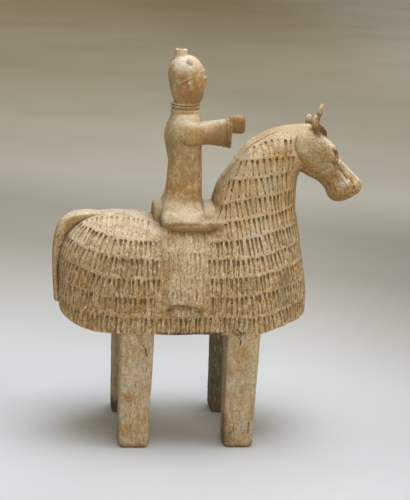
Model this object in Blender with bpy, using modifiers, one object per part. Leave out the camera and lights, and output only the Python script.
"""Pottery tomb figure of an armoured horse with its rider, one solid.

The horse looks along +X, its near side faces -Y, and the four feet stand on
the plane Z = 0. The origin is on that plane, under the middle of the figure.
"""

import math

import bpy
from mathutils import Vector

MM = 0.001

# Driving dimensions of the horse, in metres
HEM_HEIGHT = 121 * MM
HEM_HALF_WIDTH = 64 * MM
HEM_RISE_AT_TAIL = 15 * MM
HEM_RISE_AT_CHEST = 8 * MM
HEM_RIM_WIDTH = 9 * MM
BELLY_RECESS = 6 * MM
BARDING_POINTS = 48

LEG_TOP_SIZE = 34.5 * MM
LEG_FOOT_SIZE = 30 * MM
LEG_OUTER_FACE = 62.2 * MM
LEG_CORNER = 4.5 * MM
HIND_LEG_X = -72.2 * MM
FRONT_LEG_X = 33.6 * MM
FAR_LEGS_BACK = 1.6 * MM
LEG_TOP_HEIGHT = 131 * MM

# The neck bends round this point, just in front of the throat
NECK_PIVOT_X = 97 * MM
NECK_PIVOT_Z = 258 * MM
NECK_LAST_ANGLE = 92
# The edge of the barding lies further back on the cheeks than at the poll
NECK_EDGE_BACK = 25

# The head hangs along a straight line from the poll to the muzzle
HEAD_START_X = 95 * MM
HEAD_START_Z = 298 * MM
HEAD_ANGLE = 37.4

TAIL_WIDTH = 22 * MM
TAIL_THICKNESS = 6.5 * MM

# Driving dimensions of the rider and saddle
HELMET_TOP = 387 * MM
PLUME_TUBE_TOP = 393 * MM
PLUME_TUBE_RADIUS = 6.4 * MM
PLUME_TUBE_BORE = 3.2 * MM
PLUME_TUBE_X = -34.2 * MM
ARM_Y = -21 * MM
SEAT_TOP = 227 * MM
SEAT_UNDERSIDE = 219.5 * MM
SADDLE_BOARD_FOOT = 208 * MM
SADDLE_BOARD_EDGE = 1.3 * MM

CLAY_COLOUR = (0.52, 0.40, 0.27, 1.0)
CLAY_ROUGHNESS = 0.9


def clear_scene():
    """Remove whatever the file held."""
    for item in list(bpy.data.objects):
        bpy.data.objects.remove(item, do_unlink=True)


def new_collection(name):
    collection = bpy.data.collections.new(name)
    bpy.context.scene.collection.children.link(collection)
    return collection


def curve_value(knots, at):
    """Smooth value at a place, through (place, value) knots in rising order."""
    if at <= knots[0][0]:
        return knots[0][1]
    if at >= knots[-1][0]:
        return knots[-1][1]
    index = max(i for i in range(len(knots) - 1) if knots[i][0] <= at)

    def slope(i):
        low = max(i - 1, 0)
        high = min(i + 1, len(knots) - 1)
        return (knots[high][1] - knots[low][1]) / (knots[high][0] - knots[low][0])

    x0, y0 = knots[index]
    x1, y1 = knots[index + 1]
    span = x1 - x0
    t = (at - x0) / span
    start = (2 * t**3 - 3 * t**2 + 1) * y0 + (t**3 - 2 * t**2 + t) * span * slope(index)
    end = (3 * t**2 - 2 * t**3) * y1 + (t**3 - t**2) * span * slope(index + 1)
    return start + end


def superellipse(angle, power):
    """Point of a unit superellipse, round at power 2 and squarer above it."""
    c = math.cos(angle)
    s = math.sin(angle)
    return (math.copysign(abs(c) ** (2 / power), c), math.copysign(abs(s) ** (2 / power), s))


def section(count, back, front, widest, half_width, back_power, front_power):
    """Closed plan outline from back to front, as (x, y) points."""
    points = []
    for i in range(count):
        angle = 2 * math.pi * i / count
        ahead = math.cos(angle) >= 0
        x, y = superellipse(angle, front_power if ahead else back_power)
        reach = front - widest if ahead else widest - back
        points.append((widest + x * reach, y * half_width))
    return points


def loft(name, loops, collection):
    """Closed solid through loops with equal numbers of points, fanned shut at both ends."""
    count = len(loops[0])
    points = [Vector(p) for loop in loops for p in loop]
    faces = []
    for k in range(len(loops) - 1):
        for i in range(count):
            j = (i + 1) % count
            faces.append((k * count + i, k * count + j, (k + 1) * count + j, (k + 1) * count + i))
    for k, order in ((0, -1), (len(loops) - 1, 1)):
        middle = sum((Vector(p) for p in loops[k]), Vector()) / count
        points.append(middle)
        for i in range(count):
            pair = (k * count + i, k * count + (i + 1) % count)[::order]
            faces.append((pair[0], pair[1], len(points) - 1))
    mesh = bpy.data.meshes.new(name)
    mesh.from_pydata(points, [], faces)
    form = bpy.data.objects.new(name, mesh)
    collection.objects.link(form)
    return form


def hem_lift(x):
    """How far the hem, and the rows above it, rise towards the tail and the chest."""
    tail = max(0.0, (-95 * MM - x) / (53 * MM))
    chest = min(1.0, max(0.0, (x - 50 * MM) / (55 * MM)))
    return HEM_RISE_AT_TAIL * min(tail, 1.05) ** 3 + HEM_RISE_AT_CHEST * (1 - (1 - chest) ** 2)


def barding_loop(z, back, front, widest, half_width, powers, lift):
    plan = section(BARDING_POINTS, back, front, widest, half_width, *powers)
    return [(x, y, z + lift * hem_lift(x)) for x, y in plan]


def rump_and_flank(collection):
    """Rear half of the barding: level loops from the belly up to the closed rump."""
    # Height, rear end, front end, half width, share of the hem's rise
    levels = [
        (121, -147.5, 62, 64.0, 1.0),
        (131, -148.5, 62, 63.8, 0.95),
        (145, -149.0, 62, 62.6, 0.9),
        (160, -149.4, 62, 60.6, 0.8),
        (176, -149.0, 60, 57.8, 0.65),
        (190, -147.0, 56, 53.8, 0.5),
        (201, -143.5, 50, 49.0, 0.35),
        (210, -138.5, 30, 43.6, 0.22),
        (217.5, -131.5, -6, 36.6, 0.12),
        (223, -123.0, -44, 28.4, 0.05),
        (226.8, -113.0, -62, 19.0, 0.0),
        (228.8, -101.0, -78, 9.5, 0.0),
    ]
    loops = []
    for z, back, front, half_width, lift in levels:
        widest = -55 if front > 30 else (back + front) / 2
        loops.append(barding_loop(z * MM, back * MM, front * MM, widest * MM,
                                  half_width * MM, (2.6, 2.8), lift))
    return loft("rump_and_flank", loops, collection)


def belly_recess(collection):
    """Space under the belly, which leaves the hem of the barding as a rim round it."""
    loops = []
    for z, narrower in ((HEM_HEIGHT - 20 * MM, 0.0), (HEM_HEIGHT, 0.0), (HEM_HEIGHT + BELLY_RECESS, 3 * MM)):
        inset = HEM_RIM_WIDTH + narrower
        plan = section(BARDING_POINTS, -147.5 * MM + inset, 104.6 * MM - inset, -20 * MM,
                       HEM_HALF_WIDTH - inset, 3.0, 2.2)
        loops.append([(x, y, z + hem_lift(x)) for x, y in plan])
    return loft("belly_recess", loops, collection)


def chest_and_neck(collection):
    """Front half of the barding: level loops up to the withers, then loops turning round the throat."""
    # Height, rear end, front end, widest place, half width, share of the hem's rise
    levels = [
        (121, -88, 104.6, 35, 64.0, 1.0),
        (131, -88, 104.8, 35, 63.8, 0.95),
        (145, -88, 104.3, 34, 62.6, 0.9),
        (160, -88, 102.2, 33, 60.6, 0.8),
        (176, -86, 99.7, 31, 57.8, 0.65),
        (190, -80, 97.2, 29, 53.8, 0.5),
        (203, -64, 95.2, 27, 49.6, 0.35),
        (216, -36, 92.6, 25, 45.6, 0.2),
        (229, -8, 90.0, 26, 41.4, 0.1),
        (238, 2.0, 88.6, 29, 38.9, 0.05),
        (247, 4.2, 88.0, 32, 36.8, 0.0),
    ]
    loops = []
    for z, back, front, widest, half_width, lift in levels:
        loops.append(barding_loop(z * MM, back * MM, front * MM, widest * MM,
                                  half_width * MM, (2.5, 1.8), lift))
    outer = [(0, 89.6), (14, 80.4), (38, 73.6), (56, 69.2), (73, 65.4), (92, 63.6)]
    inner = [(0, 9.3), (20, 9.8), (45, 12.4), (70, 17.0), (92, 21.0)]
    widths = [(0, 34.8), (25, 31.0), (50, 27.4), (80, 24.6), (92, 24.0)]
    steps = 10
    for k in range(steps + 1):
        angle = NECK_LAST_ANGLE * k / steps
        reach_out = curve_value(outer, angle) * MM
        reach_in = curve_value(inner, angle) * MM
        widest = reach_in + (reach_out - reach_in) * (0.62 - 0.12 * k / steps)
        plan = section(BARDING_POINTS, -reach_out, -reach_in, -widest,
                       curve_value(widths, angle) * MM, 2.4, 1.9)
        loop = []
        for r, y in plan:
            share = abs(y) / curve_value(widths, angle) / MM
            turn = math.radians(angle - NECK_EDGE_BACK * share**1.6 * (k / steps) ** 3)
            loop.append((NECK_PIVOT_X + r * math.cos(turn), y, NECK_PIVOT_Z - r * math.sin(turn)))
        loops.append(loop)
    return loft("chest_and_neck", loops, collection)


def horse_head(collection):
    """Head, as sections square to the line from poll to muzzle."""
    # Distance along the head, reach of the upper and lower outlines, half width
    stations = [
        (-24, 9.0, -9.0, 15.0),
        (-12, 20.6, -15.5, 20.4),
        (0, 21.6, -19.5, 22.2),
        (11, 21.6, -21.0, 22.8),
        (20, 20.8, -19.8, 22.0),
        (28, 18.3, -17.9, 19.8),
        (36, 14.8, -17.3, 17.4),
        (44, 13.2, -19.0, 15.4),
        (51, 12.4, -22.6, 14.4),
        (58, 11.6, -22.8, 14.0),
        (64.0, 10.8, -19.8, 13.4),
        (68.0, 9.6, -14.0, 12.0),
        (71.0, 7.0, -6.0, 8.6),
    ]
    turn = math.radians(HEAD_ANGLE)
    along = Vector((math.cos(turn), 0, -math.sin(turn)))
    upward = Vector((math.sin(turn), 0, math.cos(turn)))
    start = Vector((HEAD_START_X, 0, HEAD_START_Z))
    loops = []
    for distance, top, bottom, half_width in stations:
        middle = (top + bottom) / 2
        centre = start + along * distance * MM + upward * middle * MM
        loop = []
        for i in range(24):
            across, up = superellipse(2 * math.pi * i / 24, 2.4)
            loop.append(centre + Vector((0, across * half_width * MM, 0))
                        + upward * up * (top - bottom) / 2 * MM)
        loops.append(loop)
    return loft("horse_head", loops, collection)


def ear(name, base, tip, bend, width, thickness, collection):
    """Pointed ear that bends forward; a tip near the base gives a broken stump."""
    base = Vector(base) * MM
    tip = Vector(tip) * MM
    loops = []
    for k in range(6):
        t = k / 5
        centre = base.lerp(tip, t) + Vector((bend * MM * math.sin(math.pi * t), 0, 0))
        swell = (0.72 + 0.6 * t) * (1 - t**2.2) + 0.10
        loops.append([centre + Vector((math.cos(a) * width * swell * MM / 2,
                                       math.sin(a) * thickness * swell * MM / 2, 0))
                      for a in (2 * math.pi * i / 12 for i in range(12))])
    return loft(name, loops, collection)


def forelock(collection):
    """Rounded tuft in front of the ears."""
    loops = []
    for k in range(5):
        t = k / 4
        radius = (7.5 * math.sqrt(max(0.06, 1 - (2 * t - 0.85) ** 2 / 1.35))) * MM
        centre = Vector((104 + 10.5 * t, 0, 319 - 5.5 * t)) * MM
        loops.append([centre + Vector((math.sin(a) * 0.35, math.cos(a), math.sin(a) * 0.8)) * radius
                      for a in (2 * math.pi * i / 12 for i in range(12))])
    return loft("forelock", loops, collection)


def tail(collection):
    """Flat strap that starts on the rump, turns over it and hangs to the hem."""
    route = [(-108, 225.4), (-119, 226.4), (-131, 225.3), (-140.5, 221.6), (-146.8, 214.6), (-150.2, 205.0),
             (-151.9, 194.0), (-152.5, 181.0), (-151.9, 166.0), (-150.7, 151.0), (-149.6, 137.5)]
    loops = []
    for k, (x, z) in enumerate(route):
        before = Vector((route[max(k - 1, 0)][0], 0, route[max(k - 1, 0)][1]))
        after = Vector((route[min(k + 1, len(route) - 1)][0], 0, route[min(k + 1, len(route) - 1)][1]))
        along = (after - before).normalized()
        out = Vector((along.z, 0, -along.x)) * -1
        taper = min(1.0, 0.62 + 0.19 * k)
        centre = Vector((x, 0, z)) * MM
        loop = []
        for i in range(12):
            across, up = superellipse(2 * math.pi * i / 12, 3.2)
            loop.append(centre + Vector((0, across * TAIL_WIDTH / 2 * taper, 0))
                        + out * up * TAIL_THICKNESS / 2)
        loops.append(loop)
    return loft("tail", loops, collection)


def move_to(form, collection):
    """Keep a new primitive in one collection only."""
    for old in list(form.users_collection):
        old.objects.unlink(form)
    collection.objects.link(form)


def round_edges(form, width, segments):
    bevel = form.modifiers.new("rounded_edges", "BEVEL")
    bevel.width = width
    bevel.segments = segments
    bevel.limit_method = "ANGLE"
    bevel.angle_limit = math.radians(35)


def leg(name, x, side, collection):
    """Square pillar leg with rounded edges, a little narrower at the foot."""
    bpy.ops.mesh.primitive_cube_add(size=1, location=(0, 0, 0))
    form = bpy.context.object
    form.name = name
    move_to(form, collection)
    for corner in form.data.vertices:
        size = LEG_TOP_SIZE if corner.co.z > 0 else LEG_FOOT_SIZE
        corner.co = Vector((x + corner.co.x * size,
                            side * (LEG_OUTER_FACE - size / 2) + corner.co.y * size,
                            (corner.co.z + 0.5) * LEG_TOP_HEIGHT))
    round_edges(form, LEG_CORNER, 3)
    return form


def flank_half_width(z):
    """Half width of the barding beside the saddle, at a height."""
    knots = [(121, 64), (145, 62.6), (160, 60.6), (176, 57.8), (190, 53.8), (201, 49), (210, 44), (220, 36)]
    return curve_value(knots, z / MM) * MM


def rider_leg(name, side, collection):
    """Armoured leg that lies on the flank, with its foot in a stirrup below the hem of the armour."""
    # Height, rear edge, front edge, how far it stands out from the flank
    levels = [
        (223, -50, -6, 8.5),
        (214, -51, -6.5, 6.8),
        (200, -51, -6.8, 5.4),
        (180, -49, -5.6, 4.6),
        (162, -45.5, -4.2, 4.4),
        (151, -43.2, -3.4, 4.8),
        (147, -42.6, -3.2, 5.2),
        (146, -39.5, -9.0, 2.2),
        (140, -39.6, -11.0, 2.8),
        (137.5, -39.8, -15.0, 2.6),
    ]
    loops = []
    for z, back, front, proud in levels:
        outer = flank_half_width(z * MM) + proud * MM
        inner = outer - 16 * MM
        plan = section(20, back * MM, front * MM, (back + front) / 2 * MM, (outer - inner) / 2, 3.4, 3.4)
        loops.append([(x, side * (outer + inner) / 2 + y, z * MM) for x, y in plan])
    return loft(name, list(reversed(loops)), collection)


def saddle_seat(collection):
    """Flat seat that juts out under the hem of the robe, on a pad bedded in the back."""
    loops = []
    for z, grow in ((SEAT_UNDERSIDE - 18 * MM, -12.0), (SEAT_UNDERSIDE - 1 * MM, -6.0), (SEAT_UNDERSIDE, -3.0),
                    (SEAT_UNDERSIDE + 1.5 * MM, -0.6), (SEAT_UNDERSIDE + 4 * MM, 0.0),
                    (SEAT_TOP - 1.5 * MM, -0.8), (SEAT_TOP, -2.6)):
        plan = section(32, (-50.8 - grow) * MM, (9.5 + grow) * MM, -21 * MM, (45.5 + grow) * MM, 4.0, 3.0)
        loops.append([(x, y, z) for x, y in plan])
    return loft("saddle_seat", loops, collection)


def saddle_board(name, back, front, top, half_width, collection):
    """Upright board with an arched top, the cantle behind the rider or the pommel before them."""
    half_height = (top - SADDLE_BOARD_FOOT) / 2
    bpy.ops.mesh.primitive_cylinder_add(vertices=28, radius=1, depth=front - back)
    form = bpy.context.object
    form.name = name
    move_to(form, collection)
    for corner in form.data.vertices:
        up, across, through = corner.co
        corner.co = Vector(((back + front) / 2 + through,
                            across * half_width,
                            SADDLE_BOARD_FOOT + half_height * (1 + up)))
    # The turned axes swap two coordinates, which turns the faces inside out
    form.data.flip_normals()
    round_edges(form, SADDLE_BOARD_EDGE, 2)
    return form


def robe_and_torso(collection):
    """Robe that spreads over the saddle and rises in a slim trunk to the shoulders."""
    # Height, back, front, half width
    levels = [
        (224.5, -49.5, -5.6, 42.0),
        (227.5, -50.2, -5.2, 43.0),
        (231, -49.8, -5.8, 40.8),
        (236, -48.6, -6.8, 34.2),
        (241, -47.2, -7.4, 27.4),
        (246, -45.4, -7.8, 22.8),
        (254, -44.2, -8.0, 20.8),
        (266, -43.6, -8.4, 19.8),
        (282, -43.0, -9.2, 19.8),
        (296, -45.6, -10.0, 21.8),
        (306, -47.5, -10.2, 24.6),
        (315, -46.4, -10.4, 26.0),
        (321, -44.2, -11.2, 25.2),
        (326, -42.0, -12.6, 21.6),
        (329.5, -40.8, -13.6, 17.4),
        (331.5, -40.2, -14.0, 15.4),
    ]
    loops = []
    for z, back, front, half_width in levels:
        plan = section(28, back * MM, front * MM, (back + front) / 2 * MM, half_width * MM, 2.3, 2.3)
        loops.append([(x, y, z * MM) for x, y in plan])
    return loft("robe_and_torso", loops, collection)


def collar_and_head(collection):
    """Two collar rolls, then the helmeted head."""
    # Height, back, front, half width
    levels = [
        (328, -41.4, -14.6, 14.6),
        (330.5, -41.6, -13.6, 15.0),
        (333, -41.0, -14.0, 14.6),
        (334.2, -42.4, -13.4, 15.4),
        (337.0, -42.6, -13.4, 15.6),
        (339.2, -41.2, -14.2, 14.4),
        (341.5, -39.6, -13.6, 13.6),
        (344.5, -40.6, -12.2, 14.8),
        (350, -42.4, -10.6, 16.4),
        (357, -44.2, -9.4, 17.4),
        (364, -46.0, -9.4, 17.9),
        (371, -46.2, -10.4, 17.7),
        (377, -44.6, -12.6, 16.3),
        (382, -42.0, -16.4, 13.4),
        (385.4, -39.0, -20.6, 9.6),
        (HELMET_TOP / MM, -36.4, -24.8, 6.0),
    ]
    loops = []
    for z, back, front, half_width in levels:
        plan = section(24, back * MM, front * MM, (back + front) / 2 * MM, half_width * MM, 2.15, 2.15)
        loops.append([(x, y, z * MM) for x, y in plan])
    return loft("collar_and_head", loops, collection)


def nose(collection):
    """Plain nose of the rider, a low wedge in the middle third of the face."""
    loops = []
    for z, reach, half_width in ((355.0, 1.0, 1.6), (356.2, 3.4, 3.0), (358.6, 2.8, 2.4), (363.8, 1.0, 1.5)):
        front = -9.6 + reach
        loops.append([((front - 5) * MM, half_width * MM, z * MM), ((front - 5) * MM, -half_width * MM, z * MM),
                      ((front - 1) * MM, -half_width * MM, z * MM), (front * MM, -half_width * 0.5 * MM, z * MM),
                      (front * MM, half_width * 0.5 * MM, z * MM), ((front - 1) * MM, half_width * MM, z * MM)])
    return loft("nose", loops, collection)


def plume_tube(collection):
    """Broken stump of the plume holder on the helmet, with an open bore."""
    # Turned profile, from the foot of the outer wall over the rim to the bottom of the bore
    profile = [(0, HELMET_TOP - 6 * MM), (PLUME_TUBE_RADIUS * 1.12, HELMET_TOP - 6 * MM),
               (PLUME_TUBE_RADIUS, HELMET_TOP + 1 * MM), (PLUME_TUBE_RADIUS * 0.96, PLUME_TUBE_TOP),
               (PLUME_TUBE_BORE, PLUME_TUBE_TOP), (PLUME_TUBE_BORE * 0.7, HELMET_TOP + 1.5 * MM),
               (0, HELMET_TOP + 1.5 * MM)]
    mesh = bpy.data.meshes.new("plume_tube")
    mesh.from_pydata([(r, 0, z) for r, z in reversed(profile)],
                     [(i, i + 1) for i in range(len(profile) - 1)], [])
    form = bpy.data.objects.new("plume_tube", mesh)
    form.location.x = PLUME_TUBE_X
    collection.objects.link(form)
    turned = form.modifiers.new("turned", "SCREW")
    turned.steps = 20
    turned.render_steps = 20
    turned.use_merge_vertices = True
    turned.merge_threshold = 0.00001
    return form


def near_arm(collection):
    """Raised near arm: upper arm, flared sleeve, and fist."""
    # Place along the arm, lowest and highest point, half thickness
    sleeve = [
        (-34, 304.5, 322.0, 5.0),
        (-28, 301.6, 324.5, 7.6),
        (-18, 302.0, 325.2, 8.6),
        (-7.5, 303.0, 326.2, 8.8),
        (4, 302.0, 327.6, 9.4),
        (11, 300.9, 328.5, 10.0),
        (16.0, 299.9, 328.8, 10.4),
    ]
    fist = [
        (13, 317.0, 330.0, 6.0),
        (16.5, 315.2, 331.6, 7.2),
        (23.5, 314.8, 332.6, 7.6),
        (27.4, 315.2, 332.2, 7.4),
        (28.8, 316.6, 330.6, 6.2),
    ]
    forms = []
    for name, rows, power in (("near_sleeve", sleeve, 2.6), ("near_fist", fist, 3.6)):
        loops = []
        for x, low, high, half_thickness in rows:
            loop = []
            for i in range(16):
                across, up = superellipse(2 * math.pi * i / 16, power)
                loop.append((x * MM, ARM_Y + across * half_thickness * MM,
                             (low + high) / 2 * MM + up * (high - low) / 2 * MM))
            loops.append(loop)
        forms.append(loft(name, loops, collection))
    return forms


def far_shoulder(collection):
    """Far arm, broken off just in front of the shoulder."""
    loops = []
    for x, low, high, half_thickness in ((-34, 304.5, 322, 5), (-27, 301.8, 324.4, 7.6), (-16, 302.6, 324.8, 8.4),
                                         (-9.4, 303.4, 324.6, 8.2)):
        loop = []
        for i in range(16):
            across, up = superellipse(2 * math.pi * i / 16, 2.6)
            loop.append((x * MM + 0.9 * MM * across * up, -ARM_Y + across * half_thickness * MM,
                         (low + high) / 2 * MM + up * (high - low) / 2 * MM))
        loops.append(loop)
    return loft("far_shoulder", loops, collection)


def add_boolean(target, name, operation, operand):
    boolean = target.modifiers.new(name, "BOOLEAN")
    boolean.operation = operation
    boolean.solver = "EXACT"
    if isinstance(operand, bpy.types.Collection):
        boolean.operand_type = "COLLECTION"
        boolean.collection = operand
    else:
        boolean.object = operand


def clay_material():
    material = bpy.data.materials.new("low_fired_clay")
    material.use_nodes = True
    shader = material.node_tree.nodes["Principled BSDF"]
    shader.inputs["Base Color"].default_value = CLAY_COLOUR
    shader.inputs["Roughness"].default_value = CLAY_ROUGHNESS
    shader.inputs["Metallic"].default_value = 0.0
    return material


def main():
    clear_scene()
    figure_collection = new_collection("armoured_horse_and_rider")
    joined_collection = new_collection("forms_joined_to_the_body")
    cutter_collection = new_collection("chest_and_belly_recess")

    figure = rump_and_flank(figure_collection)
    figure.name = "horse_and_rider"
    chest = chest_and_neck(cutter_collection)
    recess = belly_recess(cutter_collection)
    horse_head(joined_collection)
    ear("near_ear", (101.8, -12, 313), (105.6, -12.5, 344.4), -0.8, 8.6, 7.0, joined_collection)
    ear("far_ear_stump", (98.6, 11, 314), (99.0, 12, 331.0), 0.0, 8.4, 7.0, joined_collection)
    forelock(joined_collection)
    tail(joined_collection)
    for place, x in (("hind", HIND_LEG_X), ("front", FRONT_LEG_X)):
        leg("near_" + place + "_leg", x, -1, joined_collection)
        leg("far_" + place + "_leg", x - FAR_LEGS_BACK, 1, joined_collection)
    rider_leg("rider_near_leg", -1, joined_collection)
    rider_leg("rider_far_leg", 1, joined_collection)
    saddle_seat(joined_collection)
    saddle_board("cantle", -56.2 * MM, -48.4 * MM, 242.4 * MM, 19 * MM, joined_collection)
    saddle_board("pommel", -2.6 * MM, 6.6 * MM, 241.6 * MM, 27 * MM, joined_collection)
    robe_and_torso(joined_collection)
    collar_and_head(joined_collection)
    nose(joined_collection)
    plume_tube(joined_collection)
    near_arm(joined_collection)
    far_shoulder(joined_collection)

    for form in list(joined_collection.objects) + list(cutter_collection.objects):
        form.hide_render = True
        form.display_type = "WIRE"
    add_boolean(figure, "join_chest", "UNION", chest)
    add_boolean(figure, "hollow_belly", "DIFFERENCE", recess)
    add_boolean(figure, "one_piece", "UNION", joined_collection)

    figure.data.materials.append(clay_material())
    figure.data.shade_smooth()
    figure.data.set_sharp_from_angle(angle=math.radians(35))


main()
